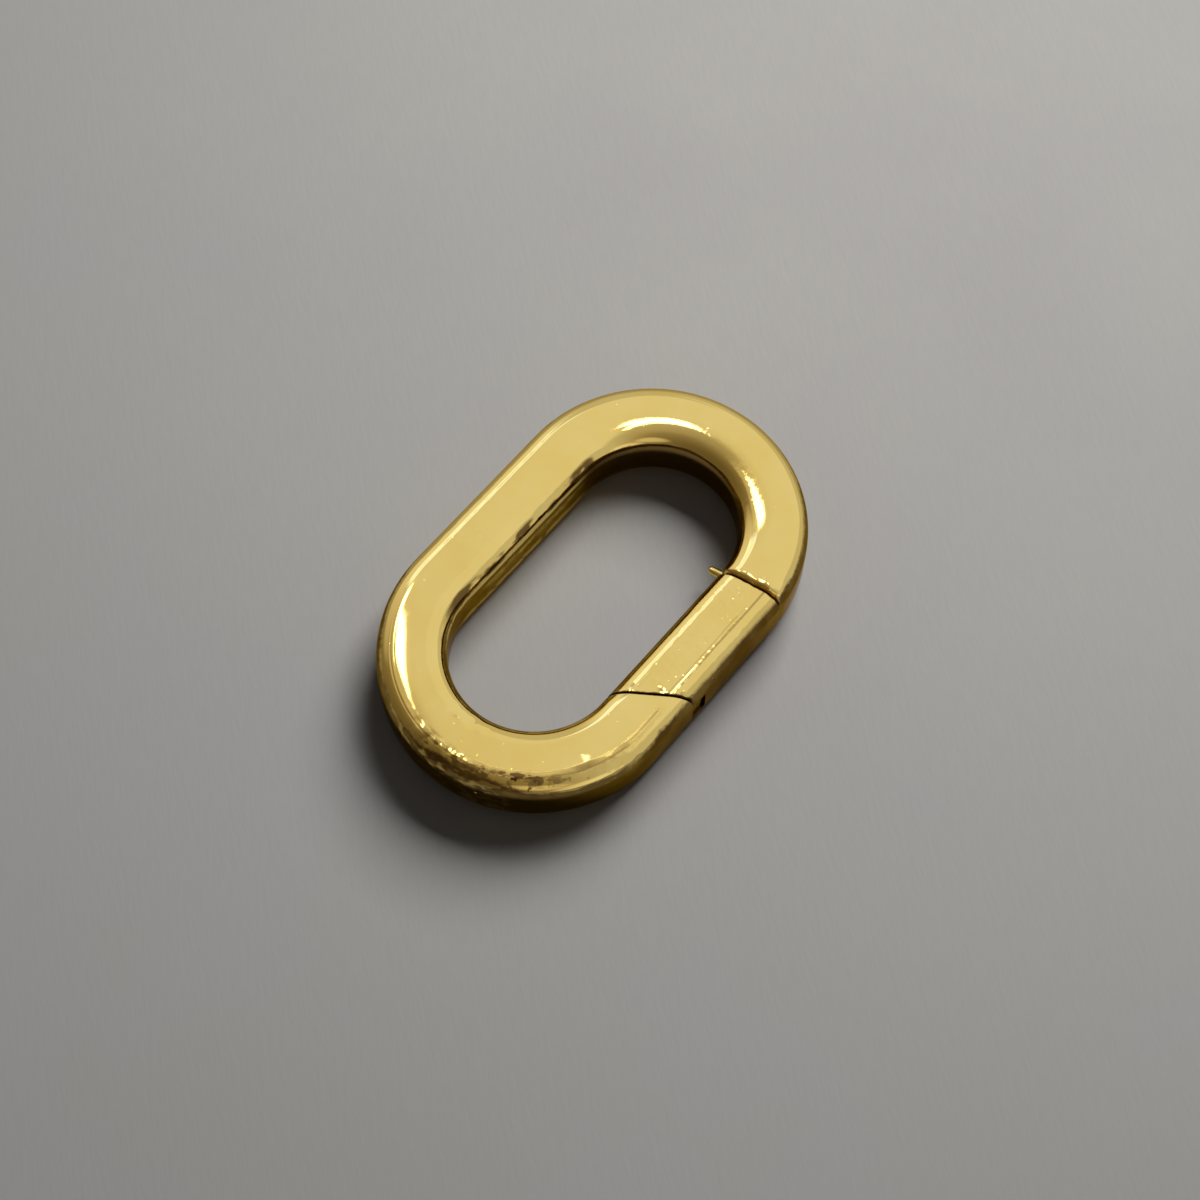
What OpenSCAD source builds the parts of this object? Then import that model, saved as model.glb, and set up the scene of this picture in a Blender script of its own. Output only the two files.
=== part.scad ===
// Oval push-button clasp: a loop of square bar with rounded corners, with a
// gate in one of its two straight sides. It lies flat: X runs along the loop,
// Z is up and the origin is the centre of its underside.
// The gate turns outwards about a pin near the loop's outer wall. The button
// stands inside the loop beside the gate's free end, and is pressed outwards.

/* [Bar] */
// Width of the bar, across the loop's wall
bar_w = 2.9; // [2.7:0.05:3.1]
// Height of the bar
bar_h = 2.9; // [2.7:0.05:3.1]
// Radius of the bar's long edges
edge_r = 0.85; // [0.7:0.05:0.9]

/* [Loop] */
// Half the length of each straight side
straight_half = 3.8; // [3.7:0.05:4.2]
// Radius of the bends, at the middle of the bar
bend_r = 5.0; // [4.6:0.1:5.6]

/* [Gate] */
// Place of the hinge seam along the loop, at the middle of the bar
hinge_seam_x = -2.45; // [-2.7:0.05:-2.2]
// Lean of the hinge seam, in mm along the bar for each mm across it
hinge_seam_lean = 0.7; // [0.6:0.05:0.8]
// Gap in the hinge seam
hinge_gap = 0.12; // [0.1:0.01:0.2]
// Place of the seam at the free end, at the middle of the bar
free_seam_x = 3.92; // [3.85:0.01:4.0]
// Lean of the seam at the free end, which makes the gate longer outside
free_seam_lean = 0.15; // [0.14:0.01:0.2]
// Gap in the seam at the free end
free_gap = 0.2; // [0.2:0.01:0.3]
// Radius of the gate's inner corner at the free end
free_corner_r = 0.3; // [0.3:0.05:0.5]
// How far the gate opens, in degrees
gate_opens = 50; // [30:5:60]

/* [Hinge] */
// Distance of the pin from the outer wall and from the gate's slanted end
knuckle_r = 0.65; // [0.62:0.01:0.7]
// Radius of the hinge pin
pin_r = 0.3; // [0.25:0.01:0.32]
// Radius of the tongue's eye
eye_r = 0.58; // [0.55:0.01:0.58]
// Height of the tongue
tongue_h = 1.0; // [0.8:0.05:1.2]
// Metal left over the blind upper end of the pin
pin_cover = 0.45; // [0.4:0.05:0.6]

/* [Button] */
// Height of the button's axis above the underside
button_z = 1.1; // [1.0:0.05:1.6]
// Distance of the button's axis from the end face of the loop
button_inset = 0.42; // [0.42:0.01:0.5]
// How far the nose stands out of the wall
nose_out = 0.8; // [0.6:0.05:1.0]
// Radius of the nose where it leaves the wall
nose_r = 0.21; // [0.18:0.01:0.22]
// Radius of the nose's round tip
tip_r = 0.16; // [0.1:0.01:0.16]
// Radius of the button's body, inside the bar
body_r = 0.28; // [0.25:0.01:0.29]
// Length of the button's body
body_l = 0.7; // [0.5:0.05:0.8]
// How far the button is pressed in
press = 0.35; // [0.2:0.05:0.4]

/* [Hidden] */
$fn = 96;

// Clearances: a turning or sliding fit, a tight fit and a free space
turn_fit = 0.02;
tight_fit = 0.01;
slot_play = 0.06;
slot_play_z = 0.04;
end_play = 0.1;
// Anything that has to reach past the bar's faces
past = 1;
// Metal between the inner wall and the shoulder that holds the button in
lip = 0.45;

bar_y = -bend_r;
wall_out_y = bar_y - bar_w / 2;
wall_in_y = bar_y + bar_w / 2;
past_out_y = wall_out_y - past;
past_in_y = wall_in_y + past;

// A seam's line at a distance across the bar, moved sideways by half its gap
function lean_len(lean) = sqrt(1 + lean * lean);
function seam_x(x, lean, y, side) = x - lean * (y - bar_y) + side * lean_len(lean);
function hinge_seam(y, side) = seam_x(hinge_seam_x, hinge_seam_lean, y, side * hinge_gap / 2);
function free_seam(y, side) = seam_x(free_seam_x, free_seam_lean, y, side * free_gap / 2);

// The pin: as far from the outer wall as from the gate's slanted end
pin_y = wall_out_y + knuckle_r;
pin_x = hinge_seam(pin_y, 1) + knuckle_r * lean_len(hinge_seam_lean);
pin_top = bar_h - pin_cover;
hinge_lean_deg = atan(hinge_seam_lean);

// The button: its axis runs beside the loop's end face, at the same lean
button_y = wall_in_y;
button_x = free_seam(button_y, 1) + button_inset * lean_len(free_seam_lean);
button_lean_deg = atan(free_seam_lean);

// The bar's cross-section, with its width about x = 0 and its base at y = 0
module bar_section() {
    flat_w = bar_w - 2 * edge_r;
    flat_h = bar_h - 2 * edge_r;
    translate([-flat_w / 2, 0]) square([flat_w, bar_h]);
    translate([-bar_w / 2, edge_r]) square([bar_w, flat_h]);
    for (x = [-flat_w / 2, flat_w / 2], y = [edge_r, bar_h - edge_r])
        translate([x, y]) circle(r = edge_r);
}

// The whole loop, with no seams
module loop() {
    for (side = [-1, 1]) {
        translate([side * straight_half, 0, 0])
            rotate([0, 0, -side * 90])
            rotate_extrude(angle = 180)
            translate([bend_r, 0]) bar_section();
        translate([-straight_half, side * bend_r, 0])
            rotate([90, 0, 90])
            linear_extrude(2 * straight_half) bar_section();
    }
}

// A plan shape raised through the whole bar
module through_bar() {
    translate([0, 0, -past]) linear_extrude(bar_h + 2 * past) children();
}

// Plan of the space between the loop's two ends
module gateway_plan() {
    polygon([
        [hinge_seam(past_in_y, -1), past_in_y],
        [hinge_seam(past_out_y, -1), past_out_y],
        [free_seam(past_out_y, 1), past_out_y],
        [free_seam(past_in_y, 1), past_in_y]
    ]);
}

// Plan of what the gate's inner corner loses to its radius
module free_corner_plan() {
    y = wall_in_y - free_corner_r;
    x = free_seam(y, -1) - free_corner_r * lean_len(free_seam_lean);
    difference() {
        polygon([
            [x, y],
            [x, past_in_y],
            [free_seam(past_in_y, 1), past_in_y],
            [free_seam(y, 1), y],
            [x + free_corner_r * cos(button_lean_deg), y + free_corner_r * sin(button_lean_deg)]
        ]);
        translate([x, y]) circle(r = free_corner_r);
    }
}

// Plan of the gate, rounded about the pin at its outer corner
module gate_plan() {
    difference() {
        union() {
            polygon([
                [hinge_seam(past_in_y, 1), past_in_y],
                [pin_x - knuckle_r * cos(hinge_lean_deg), pin_y - knuckle_r * sin(hinge_lean_deg)],
                [pin_x, pin_y],
                [pin_x, past_out_y],
                [free_seam(past_out_y, -1), past_out_y],
                [free_seam(past_in_y, -1), past_in_y]
            ]);
            translate([pin_x, pin_y]) circle(r = knuckle_r);
        }
        free_corner_plan();
    }
}

// Plan of the tongue, from inside the loop's end to its eye round the pin
module tongue_plan() {
    root_x = hinge_seam(pin_y, -1) - knuckle_r;
    translate([root_x, pin_y - eye_r]) square([pin_x - root_x, 2 * eye_r]);
    translate([pin_x, pin_y]) circle(r = eye_r);
}

// Plan of the slot in which the tongue turns, open to the slant and outside
module slot_plan() {
    slot_r = eye_r + slot_play;
    turned = 180 + gate_opens;
    reach = 4 * bar_w;
    last = [pin_x + slot_r * cos(turned + 90), pin_y + slot_r * sin(turned + 90)];
    translate([pin_x, pin_y]) circle(r = slot_r);
    polygon([
        [pin_x, pin_y],
        [pin_x, pin_y + slot_r],
        [pin_x - reach, pin_y + slot_r],
        [pin_x - reach, pin_y - reach],
        last + reach * [cos(turned), sin(turned)],
        last
    ]);
}

// Half the button's outline, its axis along y, its place in the wall at 0
module button_outline() {
    taper_l = nose_out - tip_r;
    polygon([
        [0, -lip - body_l],
        [body_r, -lip - body_l],
        [body_r, -lip],
        [nose_r, -lip],
        [nose_r, 0],
        [tip_r, taper_l],
        [0, taper_l]
    ]);
    intersection() {
        translate([0, taper_l]) circle(r = tip_r);
        translate([0, taper_l]) square([tip_r, tip_r]);
    }
}

// Half the outline of the stepped bore in which the button slides
module bore_outline() {
    body_end = lip + body_l + press + end_play;
    square([nose_r + turn_fit, past]);
    translate([0, -lip - tight_fit]) square([nose_r + turn_fit, lip + 2 * tight_fit]);
    translate([0, -body_end]) square([body_r + turn_fit, body_end - lip + tight_fit]);
}

// Turns a half outline into a round piece that lies on the button's axis
module on_button_axis() {
    translate([button_x, button_y, button_z])
        rotate([0, 0, button_lean_deg])
        rotate([-90, 0, 0])
        rotate_extrude() children();
}

module ring() {
    tongue_z = (bar_h - tongue_h) / 2;
    color("gold") difference() {
        union() {
            difference() {
                loop();
                through_bar() gateway_plan();
            }
            translate([0, 0, tongue_z]) linear_extrude(tongue_h) tongue_plan();
        }
        translate([pin_x, pin_y, 0]) cylinder(r = pin_r + turn_fit, h = bar_h);
        on_button_axis() bore_outline();
    }
}

module gate() {
    slot_h = tongue_h + 2 * slot_play_z;
    color("gold") difference() {
        intersection() {
            loop();
            through_bar() gate_plan();
        }
        translate([0, 0, (bar_h - slot_h) / 2]) linear_extrude(slot_h) slot_plan();
        translate([pin_x, pin_y, -past])
            cylinder(r = pin_r + tight_fit, h = pin_top + past + tight_fit);
    }
}

// The pin's lower end is polished off along the bar's rounded edge
module hinge_pin() {
    color("goldenrod") intersection() {
        loop();
        translate([pin_x, pin_y, -past]) cylinder(r = pin_r, h = pin_top + past);
    }
}

module push_button() {
    color("gold") on_button_axis() button_outline();
}

ring();
gate();
hinge_pin();
push_button();
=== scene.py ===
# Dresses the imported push-button clasp: polished gold, worn edges, a pale floor and soft light
from math import asin, atan, atan2, cos, degrees, hypot, pi, radians, sin, sqrt
import bmesh
import bpy
from mathutils import Matrix, Vector


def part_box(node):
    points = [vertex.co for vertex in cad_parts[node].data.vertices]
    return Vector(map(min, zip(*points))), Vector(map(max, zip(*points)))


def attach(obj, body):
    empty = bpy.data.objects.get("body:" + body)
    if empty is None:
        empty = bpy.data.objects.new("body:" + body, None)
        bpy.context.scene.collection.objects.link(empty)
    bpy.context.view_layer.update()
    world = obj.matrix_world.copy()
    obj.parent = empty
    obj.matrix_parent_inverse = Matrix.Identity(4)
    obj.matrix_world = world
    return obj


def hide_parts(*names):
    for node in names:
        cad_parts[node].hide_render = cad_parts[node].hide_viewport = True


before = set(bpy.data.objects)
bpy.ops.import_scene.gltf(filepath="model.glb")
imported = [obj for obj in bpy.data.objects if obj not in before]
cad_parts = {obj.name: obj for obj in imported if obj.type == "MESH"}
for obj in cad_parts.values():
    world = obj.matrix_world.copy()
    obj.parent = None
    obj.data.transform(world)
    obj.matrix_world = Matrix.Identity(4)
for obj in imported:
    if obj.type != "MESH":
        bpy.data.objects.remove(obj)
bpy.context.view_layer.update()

mm = 0.001  # every length below is in millimetres until a mesh is finished
past = 1  # how far a cutting tool reaches beyond the bar
touching = 1e-4  # points closer than this are one
ringLow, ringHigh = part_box("ring")
pinLow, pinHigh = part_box("hinge_pin")
buttonLow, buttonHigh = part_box("push_button")

# The square bar that the whole loop is bent from
bar = {
    "width": 2.9,
    "edgeRadius": 0.85,
    "edgeSegments": 14,
    "edgeCentre": 0.6,  # from the middle of the bar
    "crownRadius": 3.0,  # polishing has left the top slightly domed
    "topPoints": (0.2, 0.4, 0.53, 0.58, 0.62, 0.67, 0.74),  # where the top's edges run, from its middle
    "bendStep": 2.5,  # degrees
    "holeSegments": 64,
    "rimAngle": 12,  # degrees between an end face and the bar, from which their edge is rounded
    "sharpAngle": 38,  # degrees between two faces, from which their edge is shaded sharp
}
bar["height"] = (ringHigh.z - ringLow.z) / mm
bar["bendRadius"] = ringHigh.y / mm - bar["width"] / 2
bar["straightHalf"] = (ringHigh.x - ringHigh.y) / mm
bar["outerWall"] = -bar["bendRadius"] - bar["width"] / 2
bar["innerWall"] = -bar["bendRadius"] + bar["width"] / 2

# The two seams of the gate: their place at the middle of the bar, their lean and their gap
seams = {
    "hingeAt": -2.45,
    "hingeLean": 0.7,
    "hingeGap": 0.12,
    "freeAt": 3.92,
    "freeLean": 0.15,
    "freeGap": 0.2,
}

pinCentre = Vector(((pinLow.x + pinHigh.x) / 2, (pinLow.y + pinHigh.y) / 2, 0)) / mm


# Mesh tools

def seamPlane(at, lean, offset):
    normal = Vector((1, lean, 0)).normalized()
    return Vector((at, -bar["bendRadius"], 0)) + normal * offset, normal


def hingeSeam(side):
    return seamPlane(seams["hingeAt"], seams["hingeLean"], side * seams["hingeGap"] / 2)


def freeSeam(side):
    return seamPlane(seams["freeAt"], seams["freeLean"], side * seams["freeGap"] / 2)


def seamX(plane, y):
    point, normal = plane
    return point.x - normal.y / normal.x * (y - point.y)


def facesOf(geom):
    return [item for item in geom if isinstance(item, bmesh.types.BMFace)]


def roundOff(bm, geom, radius, segments, affect, **settings):
    bmesh.ops.bevel(bm, geom=geom, offset=radius, segments=segments, affect=affect, offset_type="OFFSET",
                    profile=0.5, material=-1, **settings)


def crownJoint():
    # the angle at which the dome meets the rounded edges
    return asin(bar["edgeCentre"] / (bar["crownRadius"] - bar["edgeRadius"]))


def crownUp(across):
    # height of the dome at a distance from the middle of the bar
    return bar["height"] - bar["crownRadius"] + sqrt(bar["crownRadius"] ** 2 - across ** 2)


def edgeCentreUp():
    # height of the middle of the rounded edges on top
    height, crown, edge = (bar[key] for key in ("height", "crownRadius", "edgeRadius"))
    return height - crown + (crown - edge) * cos(crownJoint())


def barSection(bm, x):
    # one rounded face across the bar, on the gate's side of the loop: flat below and slightly domed on top
    edge, inset = bar["edgeRadius"], bar["edgeCentre"]
    joint, edgeUp = crownJoint(), edgeCentreUp()
    vert = bmesh.ops.create_vert(bm, co=(0, 0, bar["height"]))["vert"][0]

    def turn(vert, centreUp, angle):
        made = bmesh.ops.spin(bm, geom=[vert], cent=(0, inset, centreUp), axis=(-1, 0, 0), angle=angle,
                              steps=bar["edgeSegments"], use_merge=False, use_duplicate=False)
        return made["geom_last"][0]

    def run(vert, move):
        made = bmesh.ops.extrude_vert_indiv(bm, verts=[vert])["verts"]
        bmesh.ops.translate(bm, vec=move, verts=made)
        return made[0]

    across, up = 0, bar["height"]
    for nextAcross in (*bar["topPoints"], bar["crownRadius"] * sin(joint)):
        nextUp = crownUp(nextAcross)
        vert = run(vert, (0, nextAcross - across, nextUp - up))
        across, up = nextAcross, nextUp
    vert = turn(vert, edgeUp, pi / 2 - joint)
    vert = run(vert, (0, 0, edge - edgeUp))
    vert = turn(vert, edge, pi / 2)
    run(vert, (0, -inset, 0))
    bmesh.ops.mirror(bm, geom=bm.verts[:] + bm.edges[:], matrix=Matrix(), merge_dist=touching, axis="Y")
    bmesh.ops.remove_doubles(bm, verts=bm.verts, dist=touching)
    face = bmesh.ops.contextual_create(bm, geom=bm.edges[:])["faces"][0]
    bmesh.ops.translate(bm, vec=(x, -bar["bendRadius"], 0), verts=bm.verts)
    return face


def crownDrop(across):
    # how far the dome lies below a flat top with the same rounded edges
    edge, inset = bar["edgeRadius"], bar["edgeCentre"]
    across = min(abs(across), bar["crownRadius"] * sin(crownJoint()))
    flat = bar["height"]
    if across > inset:
        flat = flat - edge + sqrt(edge ** 2 - (across - inset) ** 2)
    return flat - crownUp(across)


def smoothStep(value, start, end):
    part = min(max((value - start) / (end - start), 0), 1)
    return part * part * (3 - 2 * part)


# Where polishing has domed the top: which bend, which side of the bar, and the angles round the bend,
# in degrees, between which the dome grows, is full and fades
domes = [
    dict(bend=1, side=-1, grows=-96, full=-50, fades=50, ends=92),
    dict(bend=-1, side=1, grows=102, full=134, fades=146, ends=190),
]


def domedPart(x, y, across):
    # 0 where the top is flat, 1 where it is fully domed
    domed = 0
    for dome in domes:
        beyond = dome["bend"] * x - bar["straightHalf"]
        if beyond <= 0 or dome["side"] * across <= 0:
            continue
        angle = degrees(atan2(y, dome["bend"] * beyond)) % 360
        angle = angle - 360 if angle - dome["ends"] > 90 else angle
        growing = smoothStep(angle, dome["grows"], dome["full"])
        fading = smoothStep(angle, dome["ends"], dome["fades"])
        domed = max(domed, growing * fading)
    return domed


def levelCrown(bm):
    # lifts the dome to a flat top, except where polishing has left it
    edgeUp = edgeCentreUp()
    for vert in bm.verts:
        if vert.co.z < edgeUp - touching:
            continue
        beyond = max(abs(vert.co.x) - bar["straightHalf"], 0)
        across = hypot(beyond, vert.co.y) - bar["bendRadius"]
        vert.co.z += (1 - domedPart(vert.co.x, vert.co.y, across)) * crownDrop(across)


def isInside(face):
    # whether a run that starts at this face leaves it inside the bar
    return len(face.edges[0].link_faces) > 1


def openUp(bm, face):
    if face.is_valid:
        bmesh.ops.delete(bm, geom=[face], context="FACES_ONLY")


def runStraight(bm, face, move):
    inside = isInside(face)
    made = bmesh.ops.extrude_face_region(bm, geom=[face])["geom"]
    bmesh.ops.translate(bm, vec=move, verts=[item for item in made if isinstance(item, bmesh.types.BMVert)])
    if inside:
        openUp(bm, face)
    return facesOf(made)[0]


def runBend(bm, face, centreX, turn, steps):
    inside = isInside(face)
    made = bmesh.ops.spin(bm, geom=[face], cent=(centreX, 0, 0), axis=(0, 0, 1), angle=radians(turn),
                          steps=steps, use_merge=False, use_duplicate=False)
    if inside:
        openUp(bm, face)
    return facesOf(made["geom_last"])[0]


def cutEnd(bm, endLayer, point, normal, faces=None):
    # takes away what lies beyond the plane and closes the cut with one face
    faces = faces or bm.faces[:]
    verts = list({vert for face in faces for vert in face.verts})
    edges = list({edge for face in faces for edge in face.edges})
    cut = bmesh.ops.bisect_plane(bm, geom=verts + edges + faces, dist=touching / 10, plane_co=point,
                                 plane_no=normal, clear_outer=True)
    rim = [item for item in cut["geom_cut"] if isinstance(item, bmesh.types.BMEdge)]
    for face in bmesh.ops.contextual_create(bm, geom=rim)["faces"]:
        face[endLayer] = 1


def roundCorner(bm, endLayer, centre, radius, start, end, steps):
    # cuts an upright corner to a radius, from one direction round to the other, in degrees
    for step in range(steps):
        angle = radians(start + (end - start) * (step + 0.5) / steps)
        outward = Vector((cos(angle), sin(angle), 0))
        cutEnd(bm, endLayer, centre + outward * radius, outward)


def softenRim(bm, endLayer, radius, segments):
    # rounds the edges between the end faces and the bar's own faces, and then counts them all as the bar's
    def wanted(edge):
        ends = {face[endLayer] for face in edge.link_faces}
        return len(ends) == 2 and edge.calc_face_angle(0) > radians(bar["rimAngle"])

    rim = [edge for edge in bm.edges if wanted(edge)]
    roundOff(bm, rim, radius, segments, "EDGES", clamp_overlap=True)
    for face in bm.faces:
        face[endLayer] = 0
    # rounding a slanted end lifts its rim a little, so it is brought back to the bar's faces
    for vert in bm.verts:
        vert.co.z = min(max(vert.co.z, 0), bar["height"])


def addThing(name, data):
    thing = bpy.data.objects.new(name, data)
    bpy.context.scene.collection.objects.link(thing)
    return thing


def addMesh(name, bm):
    mesh = bpy.data.meshes.new(name)
    bm.to_mesh(mesh)
    bm.free()
    return addThing(name, mesh)


def makeObject(name, bm):
    bmesh.ops.remove_doubles(bm, verts=bm.verts, dist=touching)
    bmesh.ops.recalc_face_normals(bm, faces=bm.faces)
    bmesh.ops.scale(bm, vec=(mm, mm, mm), verts=bm.verts)
    return addMesh(name, bm)


def applyModifiers(thing):
    bpy.context.view_layer.update()
    evaluated = thing.evaluated_get(bpy.context.evaluated_depsgraph_get())
    finished = bpy.data.meshes.new_from_object(evaluated)
    thing.modifiers.clear()
    thing.data = finished


def combine(thing, tool, operation):
    modifier = thing.modifiers.new(tool.name, "BOOLEAN")
    modifier.operation = operation
    modifier.solver = "EXACT"
    modifier.object = tool
    applyModifiers(thing)
    bpy.data.objects.remove(tool)


def smoothFaces(thing):
    mesh = thing.data
    mesh.polygons.foreach_set("use_smooth", [True] * len(mesh.polygons))
    mesh.set_sharp_from_angle(angle=radians(bar["sharpAngle"]))
    modifier = thing.modifiers.new("weighted", "WEIGHTED_NORMAL")
    modifier.keep_sharp = True
    modifier.weight = 60  # large faces stay flat beside rounded rims
    applyModifiers(thing)


def prism(name, outline, low, high):
    bm = bmesh.new()
    face = bm.faces.new([bm.verts.new((x, y, low)) for x, y in outline])
    runStraight(bm, face, (0, 0, high - low))
    return makeObject(name, bm)


def roundBar(name, centre, radius, low, high):
    bm = bmesh.new()
    bmesh.ops.create_circle(bm, cap_ends=True, segments=bar["holeSegments"], radius=radius)
    bmesh.ops.translate(bm, vec=(centre.x, centre.y, low), verts=bm.verts)
    runStraight(bm, bm.faces[:][0], (0, 0, high - low))
    return makeObject(name, bm)


# The push button's line: it leans as the free seam does, and its nose points into the loop

buttonShape = {
    "inset": 0.42,  # from the loop's end face
    "noseOut": 0.8,
    "noseRadius": 0.21,
    "tipRadius": 0.16,
    "tipTaper": 0.005,  # what the nose still loses within its rounded tip
    "tipRounding": 0.9,  # of the tip's radius
    "tipSegments": 8,
    "shoulderDepth": 0.45,
    "bodyRadius": 0.28,
    "bodyLength": 0.7,
    "travel": 0.35,
    "endPlay": 0.1,
    "clearance": 0.02,
    "turns": 48,
}
buttonShape["height"] = (buttonLow.z + buttonHigh.z) / 2 / mm
buttonLean = atan(seams["freeLean"])
buttonFoot = Vector((seamX(freeSeam(1), bar["innerWall"]) + buttonShape["inset"] / cos(buttonLean),
                     bar["innerWall"], buttonShape["height"]))


def turnOnButtonAxis(name, outline, rounded=None, rounding=0):
    # a chain of points, distance from the axis and height along it, one of which may be rounded
    bm = bmesh.new()
    points = [bm.verts.new((radius, 0, along)) for radius, along in outline]
    for first, second in zip(points, points[1:]):
        bm.edges.new((first, second))
    if rounded:
        roundOff(bm, [points[outline.index(rounded)]], rounding, buttonShape["tipSegments"], "VERTICES")
    bmesh.ops.spin(bm, geom=bm.verts[:] + bm.edges[:], cent=(0, 0, 0), axis=(0, 0, 1), angle=2 * pi,
                   steps=buttonShape["turns"], use_merge=True, use_duplicate=False)
    lay = Matrix.Translation(buttonFoot) @ Matrix.Rotation(buttonLean, 4, "Z")
    lay = lay @ Matrix.Rotation(-pi / 2, 4, "X")
    bmesh.ops.transform(bm, matrix=lay, verts=bm.verts)
    return makeObject(name, bm)


# Ring: the fixed part of the loop, with the hinge's tongue and the button's bore

ringShape = {
    "stub": 0.4,  # the straight length from which the free end is cut
    "wideStep": 7,  # degrees of bend left plain beside the free seam, for its rounded end
    "freeEndRounding": (0.22, 6),  # radius and segments
    "hingeEndRounding": (0.045, 3),
    "tongueHeight": 1.0,
    "tongueRoot": 0.65,
    "tongueRounding": (0.04, 2),
    "eyeRadius": 0.58,
    "eyeSegments": 16,
    "boreRadius": 0.32,
}


def makeTongue():
    shape = ringShape
    rootX = seamX(hingeSeam(-1), pinCentre.y) - shape["tongueRoot"]
    tipX = pinCentre.x + shape["eyeRadius"]
    low = (bar["height"] - shape["tongueHeight"]) / 2
    bm = bmesh.new()
    bmesh.ops.create_grid(bm, x_segments=1, y_segments=1, size=0.5)
    bmesh.ops.scale(bm, vec=(tipX - rootX, 2 * shape["eyeRadius"], 1), verts=bm.verts)
    bmesh.ops.translate(bm, vec=((tipX + rootX) / 2, pinCentre.y, low), verts=bm.verts)
    tip = [vert for vert in bm.verts if vert.co.x > pinCentre.x]
    roundOff(bm, tip, shape["eyeRadius"] - touching, shape["eyeSegments"], "VERTICES")
    bmesh.ops.remove_doubles(bm, verts=bm.verts, dist=10 * touching)
    runStraight(bm, bm.faces[:][0], (0, 0, shape["tongueHeight"]))
    bmesh.ops.recalc_face_normals(bm, faces=bm.faces)
    rims = [edge for edge in bm.edges if abs(edge.verts[0].co.z - edge.verts[1].co.z) < touching]
    roundOff(bm, rims, *shape["tongueRounding"], "EDGES")
    return makeObject("tongue", bm)


def makeRing():
    shape = ringShape
    bm = bmesh.new()
    endLayer = bm.faces.layers.int.new("end")
    straight = bar["straightHalf"]
    step = bar["bendStep"]
    wide = shape["wideStep"]

    # the free end is cut and rounded while the bar is still a short stub
    face = barSection(bm, straight - shape["stub"])
    face = runStraight(bm, face, (shape["stub"], 0, 0))
    face = runBend(bm, face, straight, wide, 1)
    bmesh.ops.recalc_face_normals(bm, faces=bm.faces)
    point, normal = freeSeam(1)
    cutEnd(bm, endLayer, point, -normal)
    softenRim(bm, endLayer, *shape["freeEndRounding"])

    face = runBend(bm, face, straight, 180 - wide, round((180 - wide) / step))
    face = runStraight(bm, face, (-2 * straight, 0, 0))
    face = runBend(bm, face, -straight, 180, round(180 / step))
    before = set(bm.faces)
    runStraight(bm, face, (straight, 0, 0))
    bmesh.ops.recalc_face_normals(bm, faces=bm.faces)
    lastRun = [each for each in bm.faces if each not in before]
    cutEnd(bm, endLayer, *hingeSeam(-1), faces=lastRun)
    softenRim(bm, endLayer, *shape["hingeEndRounding"])
    levelCrown(bm)

    ring = makeObject("clasp_ring", bm)
    combine(ring, makeTongue(), "UNION")
    combine(ring, roundBar("eye", pinCentre, shape["boreRadius"], -past, bar["height"] + past), "DIFFERENCE")
    combine(ring, makeBore(), "DIFFERENCE")
    smoothFaces(ring)
    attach(ring, "ring")
    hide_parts("ring")
    print("ring made")
    return ring


# Gate: a straight run of bar, slotted for the tongue and rounded about the pin

gateShape = {
    "hingeEndRounding": (0.13, 5),  # radius and segments
    "freeEndRounding": (0.05, 3),
    "hingeEndLonger": 0.03,
    "freeEndLonger": 0.06,
    "knuckleRadius": 0.65,
    "knuckleEnds": 240,  # the direction, in degrees, in which the round about the pin ends
    "knuckleSteps": 6,
    "cornerRadius": 0.3,
    "cornerSteps": 7,
    "slotPlay": 0.06,
    "slotPlayUp": 0.04,
    "boreRadius": 0.31,
    "boreTop": 2.46,
    "opens": 50,  # degrees
}


def makeSlot():
    shape = gateShape
    radius = ringShape["eyeRadius"] + shape["slotPlay"]
    half = ringShape["tongueHeight"] / 2 + shape["slotPlayUp"]
    low, high = bar["height"] / 2 - half, bar["height"] / 2 + half
    swung = radians(180 + shape["opens"])
    reach = 4 * bar["width"]
    x, y = pinCentre.x, pinCentre.y
    last = Vector((x - radius * sin(swung), y + radius * cos(swung)))
    far = last + reach * Vector((cos(swung), sin(swung)))
    outline = [(x, y), (x, y + radius), (x - reach, y + radius), (x - reach, y - reach), far, last]
    return prism("slot_run", outline, low, high), roundBar("slot_eye", pinCentre, radius, low, high)


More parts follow.
